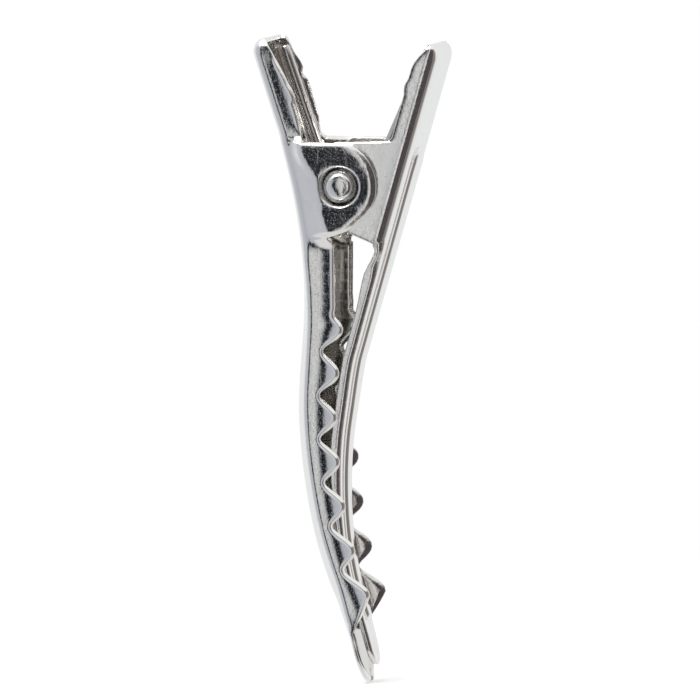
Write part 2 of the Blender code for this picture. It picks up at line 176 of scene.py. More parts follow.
@dataclass(frozen=True)
class Skin:
    """The outer face of a pressed sheet: a grid of points, their normals and the quads that are there."""

    points: Array
    normals: Array
    present: Array

    def solid(self, name: str, thickness: float, edge: float) -> bpy.types.Object:
        """Give the skin its thickness and a rounded sheared edge.

        The inner face is the outer one moved back along its normals. Round every border run rings of
        points: out by edge * sin(a) and back by edge * (1 - cos(a)), then the same mirrored.

        Args:
            name: the piece's name.
            thickness: of the sheet.
            edge: radius of the rounded sheared edge.
        Returns:
            The closed piece, with attributes wear, 1 on the edge, and inner, 1 on the inner face.
        """
        rows, columns = self.points.shape[:2]
        outer = self.points.reshape(-1, 3)
        normals = self.normals.reshape(-1, 3)
        faces = grid_faces(rows, columns)[self.present.reshape(-1)]
        a, b, c = (outer[faces[:, i]] for i in (0, 1, 2))
        if np.sum(np.cross(b - a, c - a) * normals[faces[:, 0]]) < 0:
            faces = faces[:, ::-1]
        used = np.unique(faces)
        border = border_of(faces)
        along = outer[border[:, 1]] - outer[border[:, 0]]
        out = unit(np.cross(unit(along), normals[border[:, 0]] + normals[border[:, 1]]))
        away = np.zeros_like(outer)
        np.add.at(away, border[:, 0], out)
        np.add.at(away, border[:, 1], out)
        rim = np.unique(border)
        away = unit(away[rim])
        turns = np.radians([30.0, 60.0, 90.0])
        rings = [(edge * math.sin(t), edge * (1 - math.cos(t))) for t in turns]
        rings += [(reach, thickness - depth) for reach, depth in reversed(rings)]
        whole = [outer[used], outer[used] - thickness * normals[used]]
        whole += [outer[rim] + reach * away - depth * normals[rim] for reach, depth in rings]
        number = np.full(len(outer), -1)
        number[used] = np.arange(len(used))
        turn = np.full(len(outer), -1)
        turn[rim] = np.arange(len(rim))
        count, first = len(used), 2 * len(used)
        levels = [number[border]] + [first + i * len(rim) + turn[border] for i in range(len(rings))]
        levels.append(count + number[border])
        quads = [number[faces], count + number[faces][:, ::-1]]
        for upper, lower in zip(levels, levels[1:]):
            quads.append(np.stack([upper[:, 1], upper[:, 0], lower[:, 0], lower[:, 1]], axis=1))
        near = np.sqrt(((outer[used][:, None, 1:] - outer[rim][None, ::3, 1:]) ** 2).sum(2).min(1))
        fade = np.clip(1.0 - near / 0.45, 0.0, 1.0)
        wear = np.concatenate([fade, fade, np.ones(len(rim) * len(rings))])
        inner = np.concatenate([np.zeros(count), np.ones(count), np.full(len(rim) * len(rings), 0.4)])
        return new_piece(name, np.concatenate(whole), np.concatenate(quads), {"wear": wear, "inner": inner})


def tube(path: Array, radius: float, sides: int) -> tuple[Array, Array]:
    """A closed round wire.

    Args:
        path: (n, 3) centre line.
        radius: of the wire.
        sides: points round it.
    Returns:
        Its points and quads. Each ring is centre + radius * (cos * across + sin * over), in a frame
        carried along the path; the ends are domed and closed by a ring of almost no size.
    """
    along = unit(np.gradient(path, axis=0))
    guide = np.array([0.0, 1.0, 0.0])
    over = unit(guide - along * (along @ guide)[:, None])
    across = np.cross(over, along)
    caps = np.radians([80.0, 55.0, 28.0])
    starts = [path[0] - along[0] * radius * 0.35 * math.sin(c) for c in caps]
    ends = [path[-1] + along[-1] * radius * 0.35 * math.sin(c) for c in caps[::-1]]
    centres = np.concatenate([starts, path, ends])
    girth = np.concatenate([np.cos(caps) ** 0.35, np.ones(len(path)), np.cos(caps[::-1]) ** 0.35]) * radius
    girth[[0, -1]] = 0.002
    order = np.concatenate([[0] * 3, np.arange(len(path)), [len(path) - 1] * 3])
    turn = np.linspace(0.0, 2.0 * np.pi, sides, endpoint=False)
    ring = np.cos(turn)[None, :, None] * across[order][:, None] + np.sin(turn)[None, :, None] * over[order][:, None]
    points = (centres[:, None] + girth[:, None, None] * ring).reshape(-1, 3)
    base = (np.arange(len(centres) - 1)[:, None] * sides + np.arange(sides)[None, :]).ravel()
    side = np.tile(np.arange(sides), len(centres) - 1)
    after = base - side + (side + 1) % sides
    quads = np.stack([base, after, after + sides, base + sides], axis=1)
    last = (len(centres) - 1) * sides
    half = np.arange(sides // 2 - 1)
    cap = np.stack([half, half + 1, sides - 2 - half, sides - 1 - half], axis=1)
    return points, np.concatenate([quads, cap[:, ::-1], cap + last])


def turned(profile: Array, sides: int) -> tuple[Array, Array]:
    """A solid turned about the pivot.

    Args:
        profile: (n, 2) of (radius, distance along Y), from the near end to the far end.
        sides: points round it.
    Returns:
        Points at (r cos, along, r sin) and quads; the ends close with a ring of almost no size.
    """
    turn = np.linspace(0.0, 2.0 * np.pi, sides, endpoint=False)
    radius, place = profile.T
    points = np.stack([
        radius[:, None] * np.cos(turn), np.repeat(place[:, None], sides, axis=1),
        radius[:, None] * np.sin(turn)], axis=2).reshape(-1, 3)
    base = (np.arange(len(profile) - 1)[:, None] * sides + np.arange(sides)[None, :]).ravel()
    side = np.tile(np.arange(sides), len(profile) - 1)
    after = base - side + (side + 1) % sides
    quads = np.stack([base, base + sides, after + sides, after], axis=1)
    last = (len(profile) - 1) * sides
    half = np.arange(sides // 2 - 1)
    cap = np.stack([half, half + 1, sides - 2 - half, sides - 1 - half], axis=1)
    return points, np.concatenate([quads, cap, cap[:, ::-1] + last])


# ---------------------------------------------------------------- shader maths

class Value:
    """A socket that carries a number; sums of values add their Math nodes."""

    def __init__(self, graph: "Graph", socket: bpy.types.NodeSocket) -> None:
        """Wrap a socket of a graph."""
        self.graph = graph
        self.socket = socket

    def maths(self, operation: str, *others: "Value | float") -> "Value":
        """The result of a Math node on this value and others."""
        inputs = dict(enumerate((self, *others)))
        return self.graph.value("ShaderNodeMath", {"operation": operation}, inputs)

    def __add__(self, other: "Value | float") -> "Value":
        """self + other."""
        return self.maths("ADD", other)

    __radd__ = __add__

    def __mul__(self, other: "Value | float") -> "Value":
        """self * other."""
        return self.maths("MULTIPLY", other)

    __rmul__ = __mul__

    def __sub__(self, other: "Value | float") -> "Value":
        """self - other."""
        return self.maths("SUBTRACT", other)

    def __rsub__(self, other: float) -> "Value":
        """other - self."""
        return (self * -1.0) + other

    def __neg__(self) -> "Value":
        """-self."""
        return self * -1.0

    def above(self, low: float, high: float) -> "Value":
        """A smooth step of this value, from 0 at low to 1 at high."""
        span = {"Value": self, "From Min": low, "From Max": high}
        return self.graph.value("ShaderNodeMapRange", {"interpolation_type": "SMOOTHSTEP"}, span)


class Graph:
    """The nodes of one material or of the world."""

    def __init__(self, tree: bpy.types.NodeTree) -> None:
        """Start an empty graph in a node tree."""
        self.tree = tree
        tree.nodes.clear()

    def node(self, kind: str, settings: dict | None = None, inputs: dict | None = None) -> bpy.types.Node:
        """Add a node.

        Args:
            kind: its type.
            settings: its own properties, such as an operation, set first.
            inputs: values or links by socket name or number.
        Returns:
            The node.
        """
        made = self.tree.nodes.new(kind)
        for name, value in (settings or {}).items():
            if name == "stops":
                ramp_of = made.color_ramp.elements
                for _ in value[2:]:
                    ramp_of.new(0.5)
                for stop, (position, colour) in zip(ramp_of, value):
                    stop.position, stop.color = position, (*colour, 1.0)
            else:
                setattr(made, name, value)
        for name, value in (inputs or {}).items():
            socket = made.inputs[name]
            source = value.socket if isinstance(value, Value) else value
            if isinstance(source, bpy.types.NodeSocket):
                self.tree.links.new(source, socket)
            else:
                socket.default_value = source
        return made

    def value(self, kind: str, settings: dict | None = None, inputs: dict | None = None,
              output: int | str = 0) -> Value:
        """Add a node and wrap one of its outputs."""
        return Value(self, self.node(kind, settings, inputs).outputs[output])

    def colour_mix(self, factor: Value | float, first: object, second: object) -> bpy.types.NodeSocket:
        """A colour between two colours."""
        inputs = {0: factor, 6: first, 7: second}
        return self.node("ShaderNodeMix", {"data_type": "RGBA"}, inputs).outputs[2]

    def noise(self, place: bpy.types.NodeSocket, scale: float, detail: float = 2.0,
              rough: float = 0.5) -> Value:
        """Noise of about 0 to 1 at a place, with scale cells to a metre."""
        inputs = {"Vector": place, "Scale": scale, "Detail": detail, "Roughness": rough}
        return self.value("ShaderNodeTexNoise", None, inputs)

    def stretched(self, place: bpy.types.NodeSocket, scale: tuple, turn: tuple = (0.0, 0.0, 0.0)) -> object:
        """Object coordinates turned and then scaled along each axis."""
        inputs = {"Vector": place, "Scale": tuple(1 / k for k in scale), "Rotation": turn}
        return self.node("ShaderNodeMapping", {"vector_type": "POINT"}, inputs).outputs[0]


class Grain(Enum):
    """Direction of a finish's fine lines."""

    LENGTHWISE = (1.0, 1.0, 14.0)
    CROSSWISE = (14.0, 1.0, 1.0)


@dataclass(frozen=True)
class Plating:
    """Bright nickel over rolled steel: fine ripples, rolling lines, pits, light scratches and worn edges.

    Lengths are in millimetres, and colours are linear.
    """

    name: str
    colour: tuple[float, float, float] = (0.83, 0.825, 0.815)
    stain: tuple[float, float, float] = (0.58, 0.53, 0.50)
    inside: tuple[float, float, float] = (0.60, 0.58, 0.55)
    roughness: float = 0.10
    inner_roughness: float = 0.12
    ripple: float = 0.0045
    wave: float = 0.008
    line_depth: float = 0.0009
    grain: Grain = Grain.LENGTHWISE

    def material(self) -> bpy.types.Material:
        """The finish as a material that reads Object coordinates and the wear and inner attributes."""
        made = bpy.data.materials.new(self.name)
        made.use_nodes = True
        g = Graph(made.node_tree)
        place = g.node("ShaderNodeTexCoord").outputs["Object"]
        wear = g.value("ShaderNodeAttribute", {"attribute_name": "wear"}, output="Fac")
        inner = g.value("ShaderNodeAttribute", {"attribute_name": "inner"}, output="Fac")
        ripple = g.noise(place, 1 / (0.22 * MM), 3.0, 0.62)
        wave = g.noise(place, 1 / (1.6 * MM), 1.0, 0.4)
        cloud = g.noise(place, 1 / (2.6 * MM), 4.0, 0.6)
        rolled = g.noise(g.stretched(place, self.grain.value), 1 / (0.07 * MM), 2.0, 0.6)
        slanting = g.stretched(place, (1.0, 1.0, 22.0), (0.5, 0.35, 0.2))
        scratch = g.noise(slanting, 1 / (0.12 * MM), 1.0, 0.5).above(0.66, 0.74)
        cell = {"Vector": place, "Scale": 1 / (0.75 * MM)}
        pit = 1.0 - g.value("ShaderNodeTexVoronoi", None, cell).above(0.055, 0.10)
        speck = g.noise(place, 1 / (0.5 * MM), 2.0, 0.5).above(0.60, 0.70)
        grain = g.noise(place, 1 / (0.09 * MM), 2.0, 0.6).above(0.54, 0.70) * (1.0 - inner)
        worn_noise = g.noise(place, 1 / (0.3 * MM), 3.0, 0.6)
        worn = (wear * 1.3 - 0.55 + worn_noise * 0.5).above(0.35, 0.75)
        shade = (cloud.above(0.52, 0.72) * 0.28 + inner * 0.25 * rolled).above(0.0, 1.0)
        body = g.colour_mix(shade, (*self.colour, 1.0), (*self.stain, 1.0))
        body = g.colour_mix(inner * 0.6, body, (*self.inside, 1.0))
        body = g.colour_mix(worn * 0.35, body, (0.90, 0.88, 0.84, 1.0))
        body = g.colour_mix(pit * speck * 0.7, body, (0.10, 0.09, 0.085, 1.0))
        rough = cloud * 0.08 + (self.roughness - 0.04)
        rough = rough + inner * (self.inner_roughness - self.roughness) + scratch * 0.07
        rough = rough + worn * 0.05 + pit * speck * 0.3 + grain * 0.16
        height = ripple * self.ripple * (1.0 - inner * 0.6) + wave * self.wave + rolled * (inner * 0.6 + 1.0) * self.line_depth
        height = height - scratch * 0.0010 - pit * speck * 0.006 + worn * worn_noise * 0.008
        height = height - grain * 0.0012
        bump = {"Height": height, "Distance": MM, "Strength": 1.0}
        inputs = {
            "Base Color": body, "Metallic": 1.0, "Roughness": rough,
            "Normal": g.node("ShaderNodeBump", None, bump).outputs[0],
        }
        surface = g.node("ShaderNodeBsdfPrincipled", None, inputs)
        g.node("ShaderNodeOutputMaterial", None, {"Surface": surface.outputs[0]})
        return made


# ---------------------------------------------------------------- sizes and jaws

@dataclass(frozen=True)
class ClipSizes:
    """Sizes that more than one piece shares."""

    grip_drop: float = 20.0
    jaw: float = 34.4
    handle: float = 10.1
    sheet: float = 0.35
    edge: float = 0.07
    ear_half: float = 4.4
    dimple_depth: float = 0.55
    dimple_floor: float = 1.12
    dimple_rim: float = 1.42
    pin: float = 0.75
    head: float = 0.95
    ear_top: float = 3.0
    ear_bottom: float = 3.55
    spoon: float = 3.4
    root_half: float = 3.5
    nose_half: float = 2.05
    beaded_setback: float = 0.3
    tip_setback: float = 1.2


@dataclass
class PressedJaw:
    """A pressed sheet jaw. Here x grows from its back towards its free edges, and y is half of it."""

    sizes: ClipSizes
    piece: str
    node: str
    body: str
    slot: str
    bend: float
    facing: int
    hole: float
    web_columns: int
    block: tuple[float, ...]

    def back(self, z: Array) -> Array:
        """x of the back's outer face on the mid-plane."""
        raise NotImplementedError

    def half(self, z: Array) -> Array:
        """Half width over the walls."""
        raise NotImplementedError

    def bend_line(self, z: Array) -> Array:
        """x at which the back turns into the wall."""
        raise NotImplementedError

    def free_edge(self, z: Array) -> Array:
        """x of the wall's free edge."""
        raise NotImplementedError

    def web(self, z: Array, w: Array) -> tuple[Array, Array]:
        """x and y across the back and its bend, for w from 0 on the mid-plane to 1 at the wall."""
        raise NotImplementedError

    def wall(self, x: Array, z: Array) -> Array:
        """y of the wall's outer face."""
        raise NotImplementedError

    def rows(self) -> Array:
        """Heights of the grid's rows, from the handle's end to the tip."""
        raise NotImplementedError

    def radius(self, z: Array) -> Array:
        """Outer radius of the bend, which shallow walls limit."""
        room = self.free_edge(z) - self.bend_line(z)
        return np.minimum(np.minimum(self.bend, np.maximum(room, 0.1) * 0.62), self.half(z) * 0.5)

    def wall_start(self, z: Array) -> Array:
        """x at which the bend ends and the flat of the wall starts."""
        return self.bend_line(z) + self.radius(z)

    def block_lines(self) -> Array:
        """Grid lines about the pivot, so that rings round it are lines of the grid."""
        hole = self.hole + self.sizes.edge * 0.6
        rings = np.array([ring for ring in self.block if ring > hole])
        within = np.linspace(-hole, hole, 15)
        return np.concatenate([-rings[::-1], within, rings])

    def wall_columns(self, z: Array) -> tuple[Array, Array]:
        """x and z of the wall's grid.

        Near the pivot the columns keep their x; further off they share the wall's depth out. Squares
        about the pivot are drawn in to circles: p * max(|x|, |z|) / |p|, fading out at the block's end.

        Args:
            z: heights of the rows, as (rows, 1).
        Returns:
            x and z, each (rows, columns).
        """
        block = self.block_lines()
        reach = block[-1]
        start, edge = self.wall_start(z), self.free_edge(z) - self.sizes.edge
        zero = np.zeros((1, 1))
        start0, edge0 = float(self.wall_start(zero)[0, 0]), float(self.free_edge(zero)[0, 0]) - self.sizes.edge
        first = np.linspace(start0, -reach, 8)[1:-1]
        last = np.linspace(reach, edge0, 9)[1:]
        line = np.concatenate([first, block, last])[None, :]
        even = mix(start, edge, (line - start0) / (edge0 - start0))
        before = mix(start, -reach, (line - start0) / (-reach - start0))
        after = mix(reach, edge, (line - reach) / (edge0 - reach))
        pinned = np.where(line < -reach, before, np.where(line > reach, after, line))
        x = mix(pinned, even, step(reach * 0.86, reach * 1.25, np.abs(z)))
        height = np.broadcast_to(z, x.shape)
        square = np.maximum(np.abs(x), np.abs(height))
        round_ = np.maximum(np.hypot(x, height), 1e-9)
        pull = mix(square / round_, 1.0, step(reach * 0.76, reach, square))
        pull = np.where(square < reach, pull, 1.0)
        return x * pull, height * pull

    def skin(self) -> Skin:
        """The outer face of both halves, with normals from small steps of the surface's own formulas."""
        tiny = 0.004
        z = self.rows()[:, None]
        w = np.linspace(0.0, 1.0, self.web_columns)[None, :]
        x, y = self.web(z, w)
        low, high = np.maximum(w - tiny, 0.0), np.minimum(w + tiny, 1.0)
        left, right = self.web(z, low), self.web(z, high)
        below, over = self.web(z - tiny, w), self.web(z + tiny, w)
        across = np.stack([right[0] - left[0], right[1] - left[1], np.zeros_like(x)], axis=2)
        upward = np.stack([over[0] - below[0], over[1] - below[1], np.full_like(x, 2 * tiny)], axis=2)
        normals = unit(np.cross(upward, across))
        points = np.stack([x, y, np.broadcast_to(z, x.shape)], axis=2)
        wx, wz = self.wall_columns(z)
        wy = self.wall(wx, wz)
        slope_x = (self.wall(wx + tiny, wz) - self.wall(wx - tiny, wz)) / (2 * tiny)
        slope_z = (self.wall(wx, wz + tiny) - self.wall(wx, wz - tiny)) / (2 * tiny)
        wall_normals = unit(np.stack([-slope_x, np.ones_like(wx), -slope_z], axis=2))
        wall_points = np.stack([wx, wy, wz], axis=2)
        points = np.concatenate([points, wall_points], axis=1)
        normals = np.concatenate([normals, wall_normals], axis=1)
        normals[:, 0, 1] = 0.0
        flip = np.array([1.0, -1.0, 1.0])
        points = np.concatenate([(points * flip)[:, :0:-1], points], axis=1)
        normals = unit(np.concatenate([(normals * flip)[:, :0:-1], normals], axis=1))
        middle = (points[1:, 1:] + points[:-1, :-1]) / 2
        ring = np.hypot(middle[..., 0], middle[..., 2])
        open_ = (ring < self.hole + self.sizes.edge * 0.6) & (np.abs(middle[..., 1]) > 1.5)
        points[..., 0] += self.far_shift(points)
        side = np.array([self.facing, 1.0, 1.0])
        return Skin(points * side, normals * side, ~open_)

    def far_shift(self, points: Array) -> Array:
        """How much deeper the far wall is than the near one at each point; a plain jaw's are alike."""
        return np.zeros(points.shape[:2])

    def build(self, finish: bpy.types.Material) -> bpy.types.Object:
        """Make the jaw's mesh, dress it and tie it to its body.

        Args:
            finish: its plating.
        Returns:
            The piece.
        """
        piece = self.skin().solid(self.piece, self.sizes.sheet, self.sizes.edge)
        piece.data.materials.append(finish)
        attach(piece, self.body)
        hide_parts(self.node)
        return piece


def turn_in(distance: Array, length: float, depth: float | Array) -> Array:
    """How far a back has curled towards its free edge near its end.

    Args:
        distance: from the end.
        length: over which it curls.
        depth: of the full curl.
    Returns:
        depth * (1 - sqrt(1 - rise^2)), where rise goes from 0 at length to 1 at the end.
    """
    rise = np.clip(1.0 - distance / length, 0.0, 1.0)
    return depth * (1.0 - np.sqrt(np.maximum(1.0 - rise * rise, 0.0)))


@dataclass
class ToothedJaw(PressedJaw):
    """The wider jaw: crowned back, dimpled ears and rounded teeth."""

    tooth_pitch: float = 3.05
    teeth: int = 7
    tooth_height: float = 1.18
    first_tooth: float = 9.9
    teeth_depth: float = 2.46
    teeth_tip_depth: float = 2.02
    far_teeth: float = 0.3
    crown: float = 0.62
    lean: float = 0.325
    handle_wall: float = 1.45
    plane_start: float = 3.5
    plane_back: float = -4.37
    handle_half: float = 3.75
    spoon_half: float = 2.3
    spoon_rim: float = 0.45
    lip: float = 1.3
    ear_reach: float = 2.62
    underside: Points = (
        (-0.2, 2.58), (0.0, 2.62), (0.2, 2.54), (0.39, 2.24), (0.56, 1.77), (0.70, 1.27), (0.83, 0.72),
        (0.925, 0.0), (1.0, -0.95),
    )
    handle_walls: Points = (
        (2.6, 1.66), (3.3, 1.60), (3.8, 1.58), (4.5, 1.63), (5.2, 1.66), (5.7, 1.66), (5.9, 1.84), (6.4, 1.82),
        (6.9, 1.70), (7.4, 1.62), (8.2, 1.46), (8.9, 1.40), (9.4, 1.33), (9.8, 1.27), (10.2, 1.15),
    )
    curve: Points = (
        (0.00, -3.63), (0.09, -3.24), (0.18, -3.05), (0.27, -3.1), (0.35, -3.31), (0.44, -3.48),
        (0.52, -3.36), (0.61, -2.99), (0.70, -2.39), (0.785, -1.51), (0.85, -0.62), (0.91, 0.18),
        (0.96, 0.66), (1.00, 1.08),
    )
    flat_start: Points = (
        (-4.4, -0.2), (-3.3, -0.78), (-1.93, -1.25), (0.35, -1.56), (1.2, -2.1), (2.0, -2.62), (3.0, -2.85),
        (4.0, -3.1),
    )

    @property
    def last_tooth(self) -> float:
        """Depth of the last tooth's point below the pivot."""
        return self.first_tooth + (self.teeth - 1) * self.tooth_pitch

    def spine(self, z: Array) -> Array:
        """x of the back without the curls at its ends."""
        top = ((-self.plane_start / self.sizes.jaw, self.plane_back),)
        lower = through(top + self.curve, np.minimum(-z / self.sizes.jaw, 1.02))
        plane = self.plane_back - self.lean * (z - self.plane_start)
        return np.where(z >= self.plane_start, plane, lower)

    def back(self, z: Array) -> Array:
        """x of the back, curled in at the handle's end and round the spoon."""
        lip = turn_in(self.sizes.handle - z, self.lip, self.handle_wall * 0.8)
        cup = turn_in(z + self.sizes.jaw, 1.0, 0.1)
        return self.spine(z) + lip + cup

    def half(self, z: Array) -> Array:
        """Half width: the handle's, narrowing to the nose, then the round spoon."""
        s = self.sizes
        root = -s.ear_bottom - 2.0
        spoon = -s.jaw + s.spoon
        upper = mix(s.root_half, self.handle_half, step(root, s.ear_top, z))
        nose = mix(s.root_half, s.nose_half, np.clip((root - z) / (root - spoon), 0.0, 1.0))
        radius = s.spoon * 0.62
        wide = mix(s.nose_half, self.spoon_half, step(0.0, s.spoon - radius, spoon - z))
        nose = np.where(z < spoon, wide, nose)
        near = np.clip((z + s.jaw) / radius, 0.006, 1.0)
        nose = nose * np.sqrt(1.0 - (1.0 - near) ** 2)
        return np.where(z >= root, upper - turn_in(s.handle - z, 0.9, 0.6), nose)

    def radius(self, z: Array) -> Array:
        """Outer radius of the bend: tighter below the ear."""
        tight = mix(0.42, self.bend, step(-5.5, -3.5, z))
        return np.minimum(tight, super().radius(z))

    def bend_line(self, z: Array) -> Array:
        """x of the bend: level with the back on the handle, then behind the ridge."""
        rise = self.crown * step(self.plane_start, -12.0, z)
        spoon = -self.sizes.jaw + self.sizes.spoon
        return self.back(z) + mix(0.2, rise, step(spoon, -self.last_tooth + 1.2, z))

    def ridge(self, z: Array) -> Array:
        """Half width of the flat or ridge along the middle of the back."""
        spoon = -self.sizes.jaw + self.sizes.spoon
        narrow = mix(self.handle_half - 0.7, 0.7, step(self.plane_start, -9.0, z))
        wide = mix(narrow, self.half(z) * 0.6, step(-self.last_tooth - 0.5, spoon, z))
        return np.minimum(wide, self.half(z) - self.radius(z) * 1.3)

    def far_shift(self, points: Array) -> Array:
        """The far handle wall has an even edge with one small notch, and the far teeth are a little deeper."""
        x, y, z = np.moveaxis(points, 2, 0)
        notch = 0.28 * np.clip(1.0 - np.abs(z - 7.3) / 0.4, 0.0, 1.0)
        even = 1.6 - 0.25 * step(7.0, 9.9, z) - notch
        start = self.wall_start(z)
        share = np.clip((x - start) / np.maximum(self.free_edge(z) - start, 0.1), 0.0, 1.0)
        change = even - through(self.handle_walls, np.clip(z, 2.6, 10.2))
        teeth = self.far_teeth * step(-7.5, -10.5, z) * step(-self.sizes.jaw + self.sizes.spoon, -self.last_tooth, z)
        shift = np.where(z > 0, change * step(3.4, 4.2, z), teeth)
        return np.where(y > 0, shift * share, 0.0)

    def tooth_line(self, z: Array) -> Array:
        """x of the toothed edge: a cosine about a slope that follows the back."""
        share = (-z - self.first_tooth) / (self.last_tooth - self.first_tooth)
        depth = mix(self.teeth_depth, self.teeth_tip_depth, share)
        wave = np.cos(2 * np.pi * (-z - self.first_tooth) / self.tooth_pitch)
        return self.spine(z) + depth + wave * self.tooth_height / 2

    def ear_front(self, z: Array) -> Array:
        """x of the ear's front: an oval above the pivot, then a rounded underside."""
        s = self.sizes
        centre = -0.1
        oval = centre + (self.ear_reach - centre) * np.sqrt(np.maximum(1.0 - (z / (s.ear_top + 0.02)) ** 2, 0.0))
        return np.where(z >= 0, oval, through(self.underside, np.clip(-z / s.ear_bottom, -0.1, 1.0)))

    def free_edge(self, z: Array) -> Array:
        """x of the free edge: handle wall with a nick, ear, plain wall, teeth, then the spoon's rim."""
        s = self.sizes
        handle = self.spine(z) + through(self.handle_walls, np.clip(z, 2.6, 10.2))
        fillet = 0.4
        foot = np.clip((s.ear_top + fillet - z) / fillet, 0.0, 1.0)
        handle = handle + fillet * (1.0 - np.sqrt(1.0 - foot * foot))
        plain = mix(-0.6, float(self.ear_front(np.array(-s.ear_bottom))),
                    step(-s.ear_bottom - 0.5, -s.ear_bottom, z))
        teeth = self.tooth_line(z)
        start = step(-self.first_tooth + self.tooth_pitch * 0.5, -self.first_tooth, z)
        below = np.where(z > -self.first_tooth - self.tooth_pitch / 2, mix(plain, teeth, start), teeth)
        spoon = -s.jaw + s.spoon
        share = np.clip((-self.last_tooth - z) / (-self.last_tooth - spoon), 0.0, 1.0)
        tip = self.spine(z) + mix(self.teeth_tip_depth + self.tooth_height * 0.56, self.spoon_rim, share)
        below = np.where(z > -self.last_tooth, below, tip)
        lower = np.where(z >= -s.ear_bottom, self.ear_front(z), below)
        return np.where(z > s.ear_top, handle, lower)

    def web(self, z: Array, w: Array) -> tuple[Array, Array]:
        """Ridge, then a slope x = t^1.5, then a bend that starts at the slope's own angle."""
        back, half, radius, ridge = self.back(z), self.half(z), self.radius(z), self.ridge(z)
        bend = self.bend_line(z)
        angle = np.full_like(back, 0.3)
        for _ in range(4):
            end_x = bend + radius * (1.0 - np.cos(angle))
            end_y = half - radius * (1.0 - np.sin(angle))
            angle = np.arctan(1.5 * (end_x - back) / np.maximum(end_y - ridge, 0.05))
            angle = np.minimum(angle, 1.2)
        flat, slope = 0.22, 0.62
        t = np.clip((w - flat) / (slope - flat), 0.0, 1.0)
        turn = angle + (np.pi / 2 - angle) * np.clip((w - slope) / (1.0 - slope), 0.0, 1.0)
        x = np.where(w <= slope, back + (end_x - back) * t**1.5, bend + radius * (1.0 - np.cos(turn)))
        y = np.where(w <= slope, mix(ridge, end_y, t), half - radius * (1.0 - np.sin(turn)))
        return x, np.where(w < flat, ridge * w / flat, y)

    def wall(self, x: Array, z: Array) -> Array:
        """y of the wall: it leans in, then its free edge curls out; the ear stands proud with a dimple."""
        s = self.sizes
        start, edge, half = self.wall_start(z), self.free_edge(z), self.half(z)
        depth = np.maximum(x - start, 0.0)
        tiny = 0.02
        slope = (self.free_edge(z + tiny) - self.free_edge(z - tiny)) / (2 * tiny)
        near = np.maximum(edge - x, 0.0) / np.sqrt(1.0 + np.minimum(slope * slope, 9.0))
        spoon = step(-s.jaw + s.spoon, -self.last_tooth - 1.0, z)
        in_ear = step(s.ear_top + 0.45, s.ear_top - 0.1, z) * step(-s.ear_bottom - 1.0, -s.ear_bottom + 0.5, z)
        handle = step(3.3, 4.6, z) * (1.0 - step(8.0, 9.4, z))
        share = np.where(z > 0, handle, mix(0.15, 1.0, spoon)) * (1.0 - in_ear)
        place = -z - self.first_tooth
        base = mix(self.teeth_depth, self.teeth_tip_depth, place / (self.last_tooth - self.first_tooth))
        base = self.spine(z) + base - self.tooth_height / 2 - 0.25
        toothed = step(-1.0, 0.3, place)
        crease = np.where(z > 0, start - 0.05, mix(edge - 0.95, base, toothed))
        rate = np.where(z > 0, 0.14, mix(0.13, 0.17, toothed))
        curl = rate * np.maximum(x - crease, 0.0) ** 2
        curl = (curl + 0.09 * np.clip(1.0 - near / 0.22, 0.0, 1.0) ** 2) * step(0.0, 0.3, depth) * share
        lean = 0.12 * (np.sqrt(depth * depth + 0.0016) - 0.04) * (1.0 - in_ear) * spoon
        fade = 1.0 - step(s.handle - 1.6, s.handle - 0.6, z)
        y = half + (curl - lean) * fade
        flat = through(self.flat_start, np.clip(z, -4.4, 4.0))
        rise = ramp(np.minimum(start + 0.08, flat - 0.4), flat, 0.12, x)
        y = y + (s.ear_half - half) * in_ear * rise
        round_ = np.hypot(np.maximum(x + 0.1, 0.0) / 2.72, z / np.where(z > 0, s.ear_top + 0.02, s.ear_top - 0.22))
        rim = np.where(z > 0, (1.0 - round_) * 2.8, near)
        y = y - 0.17 * in_ear * np.clip(1.0 - rim / 0.62, 0.0, 1.2) ** 2
        ring = np.hypot(x, z)
        return y - s.dimple_depth * (1.0 - ramp(s.dimple_floor, s.dimple_rim, 0.03, ring)) * (ring < 2.5)

    def rows(self) -> Array:
        """Rows close together at the lip, the ear and the spoon, and twenty to a tooth."""
        s = self.sizes
        block = self.block_lines()[::-1]
        top = s.handle - s.edge
        lip = top - self.lip * (1.0 - np.sin(np.radians(np.linspace(86, 6, 13))))
        upper = lines((lip[-1] - 0.1, s.ear_top + 0.5, 0.15), (s.ear_top + 0.5, s.ear_top + 0.02, 0.06),
                      (s.ear_top - 0.005, s.ear_top - 0.1, 0.03), (s.ear_top - 0.1, block[0] + 0.08, 0.09))
        lower = lines((block[-1] - 0.1, -s.ear_bottom - 0.6, 0.1), (-s.ear_bottom - 0.6, -8.4, 0.24),
                      (-8.4, -s.jaw + s.spoon, 0.18), (-s.jaw + s.spoon, -s.jaw + 1.2, 0.14))
        tip = -s.jaw + 0.02 + 1.18 * (1.0 - np.sin(np.radians(np.linspace(8, 88, 16))))
        return np.concatenate([lip, upper, block, lower, tip])


